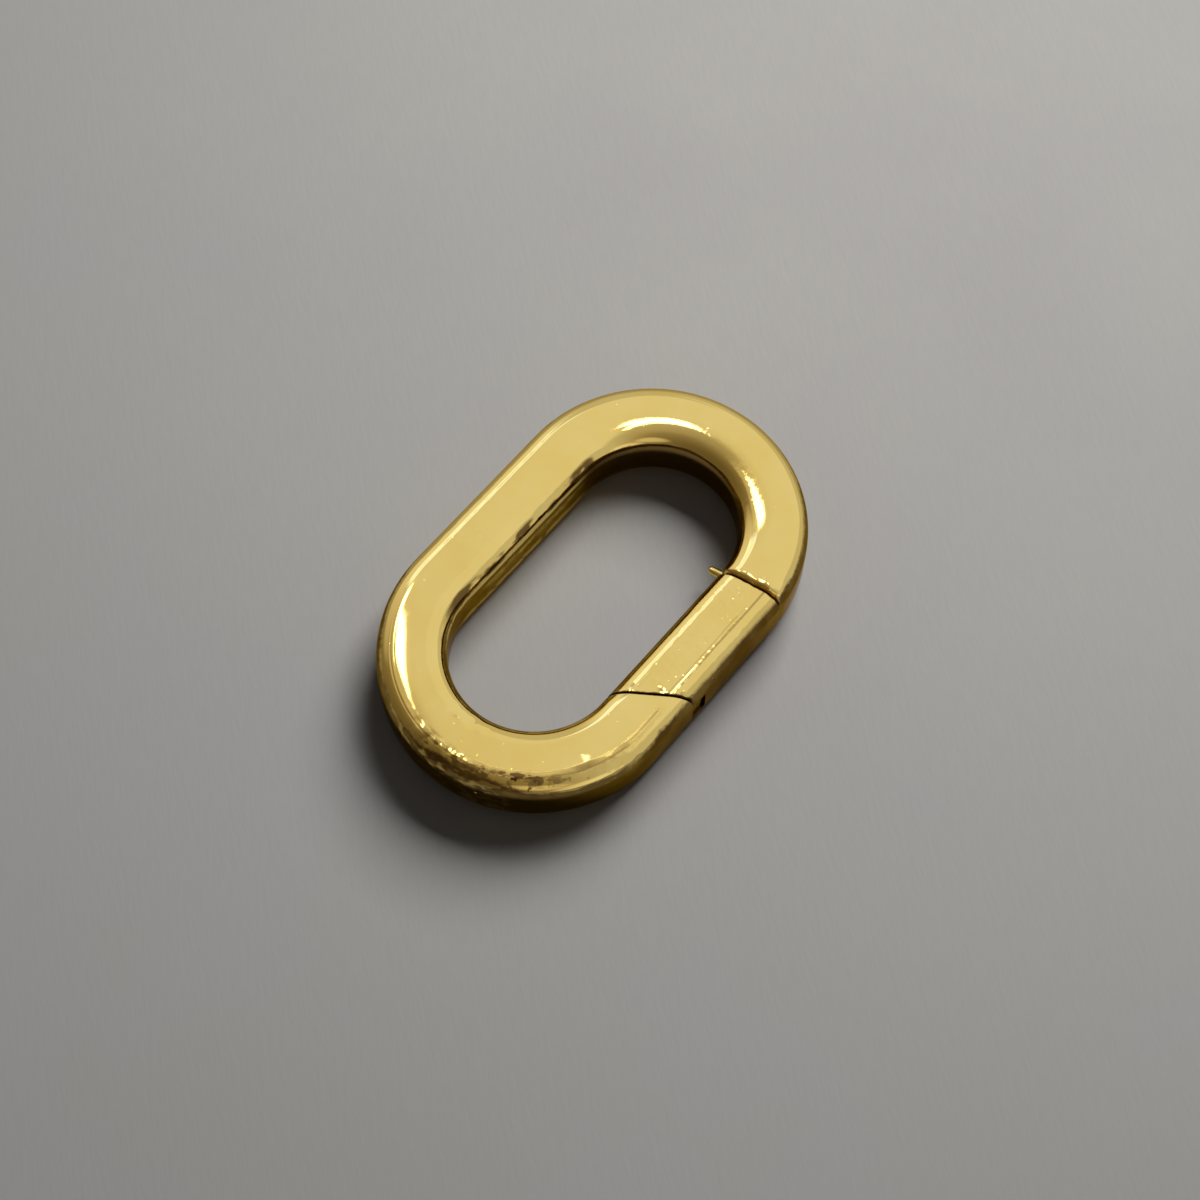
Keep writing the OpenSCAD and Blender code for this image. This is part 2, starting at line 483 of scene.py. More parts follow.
def makeGate():
    shape = gateShape
    bm = bmesh.new()
    endLayer = bm.faces.layers.int.new("end")
    start = seamX(hingeSeam(1), bar["innerWall"]) - past
    end = seamX(freeSeam(1), bar["outerWall"]) + past
    runStraight(bm, barSection(bm, start), (end - start, 0, 0))
    levelCrown(bm)
    bmesh.ops.recalc_face_normals(bm, faces=bm.faces)

    # free end, with its inner corner cut to a radius
    point, normal = freeSeam(-1)
    point = point + normal * shape["freeEndLonger"]
    cutEnd(bm, endLayer, point, normal)
    corner = Vector((0, bar["innerWall"] - shape["cornerRadius"], 0))
    corner.x = seamX((point, normal), corner.y) - shape["cornerRadius"] / cos(buttonLean)
    roundCorner(bm, endLayer, corner, shape["cornerRadius"], degrees(buttonLean), 90, shape["cornerSteps"])
    softenRim(bm, endLayer, *shape["freeEndRounding"])

    # hinge end, cut to the slanted seam and rounded about the pin
    point, normal = hingeSeam(1)
    cutEnd(bm, endLayer, point - normal * shape["hingeEndLonger"], -normal)
    lean = degrees(atan(seams["hingeLean"]))
    roundCorner(bm, endLayer, pinCentre, shape["knuckleRadius"] + shape["hingeEndLonger"], 180 + lean,
                shape["knuckleEnds"], shape["knuckleSteps"])
    softenRim(bm, endLayer, *shape["hingeEndRounding"])

    gate = makeObject("clasp_gate", bm)
    for tool in makeSlot():
        combine(gate, tool, "DIFFERENCE")
    combine(gate, roundBar("pin_bore", pinCentre, shape["boreRadius"], -past, shape["boreTop"]), "DIFFERENCE")
    smoothFaces(gate)
    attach(gate, "gate")
    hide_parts("gate")
    print("gate made")
    return gate


# Push button and the stepped bore that it slides in

def makeBore():
    shape = buttonShape
    mouth = shape["noseRadius"] + shape["clearance"]
    body = shape["bodyRadius"] + shape["clearance"]
    depth = shape["shoulderDepth"] + shape["bodyLength"] + shape["travel"] + shape["endPlay"]
    return turnOnButtonAxis("bore", [
        (0, past),
        (mouth, past),
        (mouth, -shape["shoulderDepth"]),
        (body, -shape["shoulderDepth"]),
        (body, -depth),
        (0, -depth),
    ])


def makeButton():
    shape = buttonShape
    foot = -shape["shoulderDepth"] - shape["bodyLength"]
    tip = (shape["tipRadius"] + shape["tipTaper"], shape["noseOut"])
    outline = [
        (0, foot),
        (shape["bodyRadius"], foot),
        (shape["bodyRadius"], -shape["shoulderDepth"]),
        (shape["noseRadius"], -shape["shoulderDepth"]),
        (shape["noseRadius"], 0),
        tip,
        (0, shape["noseOut"]),
    ]
    button = turnOnButtonAxis("clasp_button", outline, tip, shape["tipRadius"] * shape["tipRounding"])
    smoothFaces(button)
    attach(button, "button")
    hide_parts("push_button")
    print("push button made")
    return button


# Node tools

origin = (0.0, 0.0, 0.0)


def setInputs(tree, node, values):
    # links a socket and sets a plain value
    for name, value in values.items():
        if isinstance(value, bpy.types.NodeSocket):
            tree.links.new(value, node.inputs[name])
        else:
            node.inputs[name].default_value = value


def addNode(tree, kind, values=None, **settings):
    made = tree.nodes.new("ShaderNode" + kind)
    for name, value in settings.items():
        setattr(made, name, value)
    setInputs(tree, made, values or {})
    return made


def calculate(tree, operation, first, second=0.0):
    return addNode(tree, "Math", {0: first, 1: second}, operation=operation).outputs[0]


def total(tree, *values):
    result = values[0]
    for value in values[1:]:
        result = calculate(tree, "ADD", result, value)
    return result


def product(tree, *values):
    result = values[0]
    for value in values[1:]:
        result = calculate(tree, "MULTIPLY", result, value)
    return result


def vectorMath(tree, operation, *values):
    made = addNode(tree, "VectorMath", dict(enumerate(values)), operation=operation)
    return made.outputs["Value" if operation in ("LENGTH", "DISTANCE", "DOT_PRODUCT") else "Vector"]


def partsOf(tree, vector):
    return addNode(tree, "SeparateXYZ", {0: vector}).outputs


def joinParts(tree, first, second):
    return addNode(tree, "CombineXYZ", {0: first, 1: second}).outputs[0]


def fade(tree, value, start, end, low=0.0, high=1.0):
    return addNode(tree, "MapRange", {"Value": value, "From Min": start, "From Max": end, "To Min": low,
                                      "To Max": high}, interpolation_type="SMOOTHSTEP").outputs[0]


def noise(tree, position, perMm, detail=2.0):
    # evenly about zero, roughly from -1 to 1
    texture = addNode(tree, "TexNoise", {"Vector": position, "Scale": perMm, "Detail": detail})
    return addNode(tree, "MapRange", {"Value": texture.outputs["Fac"], "From Min": 0.25, "From Max": 0.75,
                                      "To Min": -1.0, "To Max": 1.0}).outputs[0]


def mixColours(tree, amount, first, second):
    return addNode(tree, "Mix", {0: amount, 6: first, 7: second}, data_type="RGBA").outputs[2]


def addBump(tree, height):
    # a height in millimetres
    return addNode(tree, "Bump", {"Strength": 1.0, "Distance": mm, "Height": height}).outputs[0]


def newGroup(name, build, inputs):
    # a group with its inputs, and with what its build function returns as its outputs
    group = bpy.data.node_groups.new(name, "ShaderNodeTree")
    for socket, value in inputs.items():
        kind = "NodeSocketVector" if isinstance(value, tuple) else "NodeSocketFloat"
        group.interface.new_socket(socket, in_out="INPUT", socket_type=kind).default_value = value
    results = build(group, group.nodes.new("NodeGroupInput").outputs)
    for socket in results:
        group.interface.new_socket(socket, in_out="OUTPUT", socket_type="NodeSocketFloat")
    setInputs(group, group.nodes.new("NodeGroupOutput"), results)
    return group


def useGroup(tree, effect, values):
    return addNode(tree, "Group", values, node_tree=effects[effect]).outputs


# Shared effects. Positions and heights are in millimetres.

def buildBarPlace(group, given):
    # where a point is on the bar: how far outwards from its middle line, how far along the loop from the middle
    # of its straight side, and how far round its section, in degrees, from the top (0) by the side (90)
    x, y, z = partsOf(group, given["Position"])
    length = calculate(group, "ABSOLUTE", x)
    beyond = calculate(group, "MAXIMUM", calculate(group, "SUBTRACT", length, bar["straightHalf"]))
    radius = vectorMath(group, "LENGTH", joinParts(group, beyond, y))
    across = calculate(group, "SUBTRACT", radius, bar["bendRadius"])
    bend = calculate(group, "ARCTAN2", beyond, calculate(group, "ABSOLUTE", y))
    along = total(group, calculate(group, "MINIMUM", length, bar["straightHalf"]),
                  product(group, bend, bar["bendRadius"]))
    rise = calculate(group, "SUBTRACT", z, bar["height"] / 2)
    around = calculate(group, "ARCTAN2", calculate(group, "ABSOLUTE", across), rise)
    return {
        "Across": across,
        "Along": product(group, along, calculate(group, "SIGN", x)),
        "Around": product(group, around, degrees(1)),
    }


def buildPolishWaves(group, given, finer=3.7, fainter=0.16):
    # the slow unevenness that hand polishing leaves, with a finer and fainter one on it
    slow = noise(group, given["Position"], given["Waves per mm"], 0.0)
    fine = noise(group, given["Position"], product(group, given["Waves per mm"], finer), 1.0)
    waves = total(group, slow, product(group, fine, fainter))
    return {"Height": product(group, waves, given["Depth"])}


def buildHairlines(group, given):
    # very fine scratches along one way
    stretched = vectorMath(group, "MULTIPLY", given["Position"], given["Stretch"])
    return {"Height": product(group, noise(group, stretched, 1.0, 3.0), given["Depth"])}


def buildPits(group, given, bendsPerMm=7.0, bending=0.22):
    # scattered small casting pits and grains, bent out of round, where the amount asks for them
    bent = addNode(group, "TexNoise", {"Vector": given["Position"], "Scale": bendsPerMm, "Detail": 1.0})
    bent = vectorMath(group, "MULTIPLY_ADD", bent.outputs["Color"], (bending,) * 3, given["Position"])
    cells = addNode(group, "TexVoronoi", {"Vector": bent, "Scale": given["Per mm"]})
    chance = partsOf(group, cells.outputs["Color"])[0]
    here = calculate(group, "LESS_THAN", chance, given["Amount"])
    mask = product(group, fade(group, cells.outputs["Distance"], given["Size"], 0.0), here)
    return {"Mask": mask, "Height": product(group, mask, given["Depth"], -1.0)}


def buildTarnishAndShade(group, given, raggedPerMm=1.1, grainsPerMm=5.5):
    # brown that the polishing wheel doesn't reach, and painted shade on the side walls: it starts at a distance
    # from the middle of the bar
    ragged = product(group, noise(group, given["Position"], raggedPerMm, 2.0), given["Raggedness"])
    grain = product(group, noise(group, given["Position"], grainsPerMm, 2.0), given["Grain"])
    middle = bar["height"] / 2
    # painted shade: the mask grows below the bar's middle height
    under = fade(group, partsOf(group, given["Position"])[2], middle + 0.3, middle - 0.3, 0.0, 0.2)
    reach = total(group, calculate(group, "ABSOLUTE", given["Across"]), ragged, grain, under)
    start = calculate(group, "SUBTRACT", given["Start"], given["Softness"])
    return {"Mask": fade(group, reach, start, total(group, given["Start"], given["Softness"]))}


def softPlace(group, given, full):
    # 1 as far from the centre as the full part of the radius, and 0 from the radius on
    distance = vectorMath(group, "DISTANCE", given["Position"], given["Centre"])
    return fade(group, distance, given["Radius"], product(group, given["Radius"], full))


def buildPatch(group, given):
    # a soft round place on the piece, and ragged spots inside it
    place = softPlace(group, given, 0.3)
    level = given["Spot Level"]
    spots = fade(group, given["Blotches"], level, total(group, level, 0.25))
    return {"Place": place, "Spots": product(group, place, spots)}


def buildSeamShadeAndPaste(group, given, raggedPerMm=4.0):
    # polishing paste left along a seam, and painted shade in the seam's gap
    offset = vectorMath(group, "SUBTRACT", given["Position"], given["Point"])
    away = calculate(group, "ABSOLUTE", vectorMath(group, "DOT_PRODUCT", offset, given["Facing"]))
    ragged = product(group, noise(group, given["Position"], raggedPerMm, 2.0), given["Raggedness"])
    full = product(group, given["Width"], 0.4)
    return {"Mask": fade(group, total(group, away, ragged), given["Width"], full)}


def buildToolLine(group, given):
    # one shallow line that a file has left along the bar
    away = calculate(group, "ABSOLUTE", calculate(group, "SUBTRACT", given["Across"], given["At"]))
    return {"Height": product(group, fade(group, away, given["Width"], 0.0), given["Depth"], -1.0)}


def buildPaintedLightAndWearBand(group, given):
    # a broken band along the bar, on one side of it, in a soft round place: it carries painted shade, painted
    # highlights and wear
    place = softPlace(group, given, 0.75)
    side = fade(group, product(group, given["Across"], given["Side"]), -0.1, 0.1)
    shifted = total(group, given["Around"], product(group, given["Grain"], given["Softness"]))
    start = fade(group, shifted, calculate(group, "SUBTRACT", given["From"], given["Softness"]), given["From"])
    end = fade(group, shifted, total(group, given["To"], given["Softness"]), given["To"])
    broken = fade(group, given["Grain"], given["Level"], total(group, given["Level"], 0.35))
    return {"Mask": product(group, place, side, start, end, broken)}


def buildDent(group, given):
    # one shallow dent, or a small hump where its depth is below nothing
    return {"Height": product(group, softPlace(group, given, 0.0), given["Depth"], -1.0)}


effects = {
    "place": newGroup("bar_place", buildBarPlace, {"Position": origin}),
    "waves": newGroup("polish_waves", buildPolishWaves, {
        "Position": origin, "Waves per mm": 0.3, "Depth": 0.01}),
    "hairlines": newGroup("hairlines", buildHairlines, {
        "Position": origin, "Stretch": (14.0, 1.1, 3.0), "Depth": 0.0003}),
    "pits": newGroup("pits", buildPits, {
        "Position": origin, "Per mm": 5.0, "Size": 0.3, "Depth": 0.01, "Amount": 0.5}),
    "tarnishAndShade": newGroup("tarnishAndShade", buildTarnishAndShade, {
        "Position": origin, "Across": 0.0, "Start": 1.2, "Softness": 0.06, "Raggedness": 0.1, "Grain": 0.04}),
    "patch": newGroup("patch", buildPatch, {
        "Position": origin, "Centre": origin, "Radius": 1.0, "Blotches": 0.0, "Spot Level": 0.3}),
    "seamShadeAndPaste": newGroup("seam_shade_and_paste", buildSeamShadeAndPaste, {
        "Position": origin, "Point": origin, "Facing": (1.0, 0.0, 0.0), "Width": 0.1, "Raggedness": 0.03}),
    "toolLine": newGroup("tool_line", buildToolLine, {
        "Across": 0.0, "At": 0.3, "Width": 0.04, "Depth": 0.004}),
    "paintedLightAndWearBand": newGroup("paintedLightAndWearBand", buildPaintedLightAndWearBand, {
        "Position": origin, "Across": 0.0, "Around": 0.0, "Grain": 0.0, "Centre": origin, "Radius": 1.0,
        "Side": 1.0, "From": 40.0, "To": 70.0, "Softness": 3.0, "Level": 0.0}),
    "dent": newGroup("dent", buildDent, {"Position": origin, "Centre": origin, "Radius": 0.3, "Depth": 0.01}),
}


def positionInMm(tree):
    coordinates = addNode(tree, "TexCoord").outputs["Object"]
    return addNode(tree, "VectorMath", {0: coordinates, "Scale": 1 / mm}, operation="SCALE").outputs[0]


def newMaterial(name):
    material = bpy.data.materials.new(name)
    material.use_nodes = True
    return material.node_tree, material.node_tree.nodes["Principled BSDF"], material


# Gold: the same look for every gold piece, each with its own finish

goldTones = {
    "bright": (0.96, 0.735, 0.25, 1),
    "deep": (0.93, 0.69, 0.21, 1),
    # brown for tarnish and for painted shade on the side walls
    "tarnishAndShade": (0.12, 0.052, 0.014, 1),
    # brown for polishing paste and painted shade in the seams
    "seamShadeAndPaste": (0.16, 0.075, 0.02, 1),
    "glancing": (0.75, 0.58, 0.33, 1),
}

goldLook = {
    "wall": (56.0, 68.0),  # degrees round the section between which the side wall begins
    "shoulder": (0.4, 0.8),  # the same for the shoulder, across the bar from its middle
    "gateSide": (0.6, 0.4),  # where the seam's painted shade and paste end, inwards from the bar's inner wall
    "perMm": {"drift": 0.45, "clouds": 0.9, "coarse": 1.7, "blotches": 3.0, "fine": 4.0},
    "grains": {"long": (0.55, 0.04), "short": (1.7, 0.07)},  # for each mm along and for each degree round
    "tarnishAndShadeCover": 0.93,
    "seamShadeAndPasteDullness": 0.7,
    "wallLumps": 0.0008,
    "roughness": {"polish": 0.045, "tarnishAndShade": 0.14, "pits": 0.08, "blotches": 0.04},
}

ringFinish = {
    "wavesPerMm": 0.33, "waveDepth": 0.003, "hairlineDepth": 0.00015,
    "pitAmount": 0.06, "pitDepth": 0.0018, "seamWidth": 0.09,
    "tarnishAndShadeStart": 1.24, "tarnishAndShadeSoftness": 0.07, "raggedness": 0.06, "grain": 0.035, "wallTarnishAndShade": 0.9,
    "toolLines": [(0.66, 0.06, 0.0015), (0.82, 0.07, 0.004)],  # across, width, depth
    "places": [
        # centre, radius, how far polishing has moved the start of the tarnish and painted shade, spots of
        # tarnish, extra pits
        ((-6.4, -5.9, 2.4), 3.4, 0.14, 0.0, 0.03),
        ((-9.6, -1.2, 2.5), 2.8, -0.2, 0.9, 0.03),
        ((-8.4, -3.5, 2.8), 1.3, 0.0, 0.9, 0.03),
        ((8.0, 0.2, 2.8), 1.6, 0.0, 0.2, 0.08),
        ((-5.5, -5.9, 2.7), 1.0, 0.0, 0.3, 0.12),
        ((0.0, 3.6, 2.4), 6.5, 0.2, 0.0, 0.0),
        ((8.0, 1.5, 2.4), 7.0, 0.12, 0.0, 0.0),
    ],
    "paintedLightAndWearBands": [
        # bands of painted shade and painted highlight, some also worn rough: centre, radius, side of the bar,
        # degrees round its section, softness, grain, the level at which the grain breaks it, how much darker as
        # painted shade (below nothing: brighter, as a painted highlight), how much rougher
        ((-0.2, 3.6, 2.4), 5.6, -1, (44.5, 56), 4, "long", -0.2, 0.95, 0),
        ((0.3, 3.6, 2.0), 5.0, -1, (63, 70), 2, "long", -0.7, 0.9, 0),
        ((-0.5, 3.6, 2.0), 6.5, -1, (57.5, 61), 1.5, "short", -0.8, -0.9, 0),
        ((0.0, 3.6, 0.8), 5.0, -1, (106, 135), 3, "short", -0.6, -0.9, 0),
        ((-8.5, -3.3, 2.9), 1.1, 1, (25.5, 31), 2, "short", -0.35, 0.95, 0),
        ((-7.6, -4.9, 2.3), 2.0, 1, (46, 50), 4, "short", -0.4, -0.95, 0),
        ((-9.2, -1.3, 2.6), 2.5, 1, (30, 50), 7, "short", -0.1, 0.75, 0),
        ((-7.7, -4.4, 2.6), 1.9, 1, (30, 42), 6, "short", 0.0, 0.6, 0),
        ((-4.1, -5.7, 2.9), 1.5, 1, (23.5, 25.5), 1.2, "long", -0.9, 0.5, 0),
        ((-7.6, -4.9, 1.8), 3.2, 1, (54, 108), 2, "short", -0.9, 0.85, 0),
        ((-9.8, -0.6, 1.8), 3.2, 1, (50, 118), 6, "short", -0.1, -0.5, 0),
        ((6.5, 1.6, 2.2), 3.8, -1, (47.5, 50.5), 5, "short", -0.2, -0.6, 0),
        ((6.5, 1.6, 1.6), 4.2, -1, (54, 112), 2, "long", -0.9, 0.9, 0),
        ((-6.3, -5.4, 2.85), 1.9, 1, (23.5, 30), 2, "short", -0.7, 0.5, 0),
        ((-8.3, -3.6, 2.85), 3.0, 1, (21.5, 30), 1.5, "short", -1.6, 0.42, 0.3),
        ((-5.0, -5.9, 2.85), 2.6, 1, (21, 31), 2, "long", -1.6, 0.12, 0.26),
    ],
    "lumps": [
        # centre, radius, coarse ones on the shoulders or fine ones that reach the flat top, depth
        ((-9.3, 0.2, 2.8), 2.4, "coarse", 0.02),
        ((-5.0, -6.3, 2.3), 2.2, "coarse", 0.009),
        ((-9.9, -1.0, 1.4), 3.2, "coarse", 0.016),
        ((0.0, 3.7, 2.4), 5.5, "coarse", 0.006),
        ((8.1, 0.1, 2.85), 2.2, "fine", 0.0006),
        ((7.2, -2.0, 2.85), 1.8, "fine", 0.0012),
    ],
    "dents": [
        # centre, radius, depth (below nothing: a hump)
        ((-6.5, -4.96, 2.9), 0.6, 0.012),
        ((4.45, -5.5, 2.88), 0.5, -0.06),
        ((4.62, -6.1, 2.7), 0.44, -0.055),
        ((4.3, -4.6, 2.9), 0.3, -0.02),
        ((-9.9, -2.08, 1.81), 0.1, -0.1),
    ],
}
gateFinish = {
    "wavesPerMm": 0.4, "waveDepth": 0.0016, "hairlineDepth": 0.00012,
    "pitAmount": 0.2, "pitDepth": 0.0025, "seamWidth": 0.09,
    "tarnishAndShadeStart": 1.22, "tarnishAndShadeSoftness": 0.08, "raggedness": 0.03, "grain": 0.015, "wallTarnishAndShade": 1.0,
    "toolLines": [(0.68, 0.06, 0.003), (0.86, 0.07, 0.006)],  # across, width, depth
    "places": [
        ((2.6, -5.4, 2.9), 1.0, 0.0, 0.0, 0.3),
        ((-1.2, -5.2, 2.9), 0.9, 0.0, 0.0, 0.3),
    ],
    "paintedLightAndWearBands": [
        ((1.0, -5.7, 2.9), 4.2, 1, (23.5, 25.5), 1.2, "long", -0.9, 0.5, 0),
        ((0.2, -5.5, 2.9), 3.0, 1, (18.4, 19.4), 0.9, "long", -0.5, 0.28, 0),
    ],
    "lumps": [
        ((-1.75, -5.9, 2.8), 0.8, "coarse", 0.01),
        ((1.5, -6.4, 1.6), 3.5, "coarse", 0.01),
        ((2.7, -5.2, 2.9), 1.6, "fine", 0.0048),
        ((0.4, -4.9, 2.9), 1.5, "fine", 0.0032),
        ((-1.4, -4.8, 2.9), 0.9, "fine", 0.003),
    ],
    "dents": [
        ((-2.8, -4.2, 2.88), 0.32, -0.03),
        ((-1.9, -5.2, 2.9), 0.34, -0.03),
        ((-1.45, -6.0, 2.75), 0.4, -0.035),
        ((-0.19, -6.36, 2.41), 0.09, -0.05),
        ((0.27, -6.36, 2.41), 0.07, -0.04),
    ],
}
buttonFinish = {
    "wavesPerMm": 1.2, "waveDepth": 0.003, "hairlineDepth": 0.0002,
    "pitAmount": 0.05, "pitDepth": 0.003, "seamWidth": 0.05,
    "tarnishAndShadeStart": 9.0, "tarnishAndShadeSoftness": 0.05, "raggedness": 0.0, "grain": 0.0, "wallTarnishAndShade": 0.5,
    "toolLines": [], "places": [], "paintedLightAndWearBands": [], "lumps": [], "dents": [],
}


def addPlaces(tree, finish, position, across, blotches):
    # where the tarnish and painted shade start, how many pits there are and where spots of tarnish lie
    start, pitAmount, spots = finish["tarnishAndShadeStart"], finish["pitAmount"], 0.0
    for centre, radius, moved, spotted, pitted in finish["places"]:
        patch = useGroup(tree, "patch", {"Position": position, "Centre": centre, "Radius": radius,
                                         "Blotches": blotches})
        start = total(tree, start, product(tree, patch["Place"], moved))
        pitAmount = total(tree, pitAmount, product(tree, patch["Place"], pitted))
        spots = total(tree, spots, product(tree, patch["Spots"], spotted))
    return start, pitAmount, product(tree, spots, fade(tree, across, *goldLook["shoulder"]))


def addPaintedLightAndWearBands(tree, finish, position, onBar, tarnishAndShade):
    # bands of painted shade and painted highlight that darken or brighten the tarnish and painted shade, and
    # how rough they leave the polish
    grains = {}
    for grain, (alongScale, aroundScale) in goldLook["grains"].items():
        stretched = joinParts(tree, product(tree, onBar["Along"], alongScale),
                              product(tree, onBar["Around"], aroundScale))
        grains[grain] = noise(tree, stretched, 1.0, 3.0)
    worn = 0.0
    for centre, radius, side, (start, end), softness, grain, level, darker, rougher in finish["paintedLightAndWearBands"]:
        mask = useGroup(tree, "paintedLightAndWearBand", {
            "Position": position, "Across": onBar["Across"], "Around": onBar["Around"], "Grain": grains[grain],
            "Centre": centre, "Radius": radius, "Side": side, "From": start, "To": end, "Softness": softness,
            "Level": level})["Mask"]
        if darker > 0:
            tarnishAndShade = calculate(tree, "MAXIMUM", tarnishAndShade, product(tree, mask, darker))
        else:
            tarnishAndShade = product(tree, tarnishAndShade, fade(tree, mask, 0.0, 1.0, 1.0, 1 + darker))
        if rougher:
            worn = total(tree, worn, product(tree, mask, rougher))
    return tarnishAndShade, worn


def addSeamShadeAndPaste(tree, finish, position):
    # painted shade and paste along both seams, on the gate's side of the loop
    seamShadeAndPaste = 0.0
    for point, facing in (hingeSeam(0), freeSeam(0)):
        mask = useGroup(tree, "seamShadeAndPaste", {"Position": position, "Point": point, "Facing": facing,
                                        "Width": finish["seamWidth"]})["Mask"]
        seamShadeAndPaste = calculate(tree, "MAXIMUM", mask, seamShadeAndPaste)
    start, end = (bar["innerWall"] + inwards for inwards in goldLook["gateSide"])
    return product(tree, seamShadeAndPaste, fade(tree, partsOf(tree, position)[1], start, end))


def addPolish(tree, finish, position):
    waves = useGroup(tree, "waves", {"Position": position, "Waves per mm": finish["wavesPerMm"],
                                     "Depth": finish["waveDepth"]})["Height"]
    hairlines = useGroup(tree, "hairlines", {"Position": position, "Depth": finish["hairlineDepth"]})["Height"]
    return total(tree, waves, hairlines)


def addRelief(tree, finish, position, across, wall):
    # lumps, polish, tool lines and dents
    scales = goldLook["perMm"]
    shoulder = fade(tree, calculate(tree, "ABSOLUTE", across), *goldLook["shoulder"])
    depths = {"coarse": 0.0, "fine": product(tree, wall, goldLook["wallLumps"])}
    for centre, radius, kind, depth in finish["lumps"]:
        place = useGroup(tree, "patch", {"Position": position, "Centre": centre, "Radius": radius})["Place"]
        depths[kind] = total(tree, depths[kind], product(tree, place, depth))
    heights = [
        product(tree, noise(tree, position, scales["coarse"], 1.0), shoulder, depths["coarse"]),
        product(tree, noise(tree, position, scales["fine"], 1.0), depths["fine"]),
        addPolish(tree, finish, position),
    ]
    for at, width, depth in finish["toolLines"]:
        values = {"Across": across, "At": at, "Width": width, "Depth": depth}
        heights.append(useGroup(tree, "toolLine", values)["Height"])
    for centre, radius, depth in finish["dents"]:
        values = {"Position": position, "Centre": centre, "Radius": radius, "Depth": depth}
        heights.append(useGroup(tree, "dent", values)["Height"])
    return total(tree, *heights)


def makeGold(name, finish):
    scales, rough = goldLook["perMm"], goldLook["roughness"]
    tree, shader, material = newMaterial(name + "_gold")
    position = positionInMm(tree)
    onBar = useGroup(tree, "place", {"Position": position})
    across = onBar["Across"]
    wall = fade(tree, onBar["Around"], *goldLook["wall"])
    blotches = noise(tree, position, scales["blotches"], 2.0)

    start, pitAmount, spots = addPlaces(tree, finish, position, across, blotches)
    tarnishAndShade = useGroup(tree, "tarnishAndShade", {
        "Position": position, "Across": across, "Start": start, "Softness": finish["tarnishAndShadeSoftness"],
        "Raggedness": finish["raggedness"], "Grain": finish["grain"]})["Mask"]
    clouds = fade(tree, noise(tree, position, scales["clouds"], 3.0), -0.9, 0.6, 0.78, 1.0)
    # the side walls take the tarnish and painted shade at their own strength
    strength = product(tree, clouds, fade(tree, wall, 0.0, 1.0, 1.0, finish["wallTarnishAndShade"]))
    tarnishAndShade = calculate(tree, "MAXIMUM", product(tree, tarnishAndShade, strength), spots)
    # bands of painted shade and painted highlight, some also worn rough
    tarnishAndShade, worn = addPaintedLightAndWearBands(tree, finish, position, onBar, tarnishAndShade)
    seamShadeAndPaste = addSeamShadeAndPaste(tree, finish, position)
    pits = useGroup(tree, "pits", {"Position": position, "Depth": finish["pitDepth"], "Amount": pitAmount})

    drift = fade(tree, noise(tree, position, scales["drift"], 3.0), -1.0, 1.0)
    colour = mixColours(tree, drift, goldTones["deep"], goldTones["bright"])
    # tarnish and painted shade: brown mixed into the gold
    colour = mixColours(tree, product(tree, tarnishAndShade, goldLook["tarnishAndShadeCover"]), colour, goldTones["tarnishAndShade"])
    # painted shade and polishing paste in the seams
    colour = mixColours(tree, seamShadeAndPaste, colour, goldTones["seamShadeAndPaste"])
    roughness = total(tree, rough["polish"], worn, product(tree, tarnishAndShade, rough["tarnishAndShade"]),
                      product(tree, pits["Mask"], rough["pits"]),
                      product(tree, fade(tree, blotches, 0.2, 1.0), rough["blotches"]))
    metallic = calculate(tree, "SUBTRACT", 1.0, product(tree, seamShadeAndPaste, goldLook["seamShadeAndPasteDullness"]))
    height = total(tree, addRelief(tree, finish, position, across, wall), pits["Height"])
    setInputs(tree, shader, {
        "Base Color": colour, "Specular Tint": goldTones["glancing"], "Roughness": roughness,
        "Metallic": metallic, "Normal": addBump(tree, height)})
    return material


# The pin's polished end, underneath

pinFinish = {
    "bright": (0.84, 0.62, 0.25, 1),
    "deep": (0.72, 0.5, 0.18, 1),
    "driftPerMm": 1.5,
    "roughness": (0.16, 0.28),  # smooth and scuffed
    "scuffsPerMm": 6.0,
    "wavesPerMm": 2.0,
    "waveDepth": 0.002,
    "hairlineDepth": 0.0006,
}


def makePinBrass():
    finish = pinFinish
    tree, shader, material = newMaterial("pin_brass")
    position = positionInMm(tree)
    drift = fade(tree, noise(tree, position, finish["driftPerMm"], 3.0), -1.0, 1.0)
    roughness = fade(tree, noise(tree, position, finish["scuffsPerMm"], 3.0), 0.0, 1.0, *finish["roughness"])
    setInputs(tree, shader, {
        "Base Color": mixColours(tree, drift, finish["deep"], finish["bright"]), "Metallic": 1,
        "Roughness": roughness, "Normal": addBump(tree, addPolish(tree, finish, position))})
    return material


def dress(piece, material):
    piece.data.materials.clear()
    piece.data.materials.append(material)


dress(makeRing(), makeGold("ring", ringFinish))
dress(makeGate(), makeGold("gate", gateFinish))
dress(makeButton(), makeGold("button", buttonFinish))
dress(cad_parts["hinge_pin"], makePinBrass())
print("gold and brass made")


# Floor, light and camera

cameraFit = {
    "elevation": 64.27,  # degrees above the floor
    "turn": 51.24,  # degrees between the loop's length and the picture's width
    "distance": 108.73,
    "acrossOffset": 0.227,
    "upOffset": 0.414,
    "roll": -1.14,
    "focalPixels": 2600,
    "imagePixels": 1200,
    "clip": (0.001, 10),  # metres
}


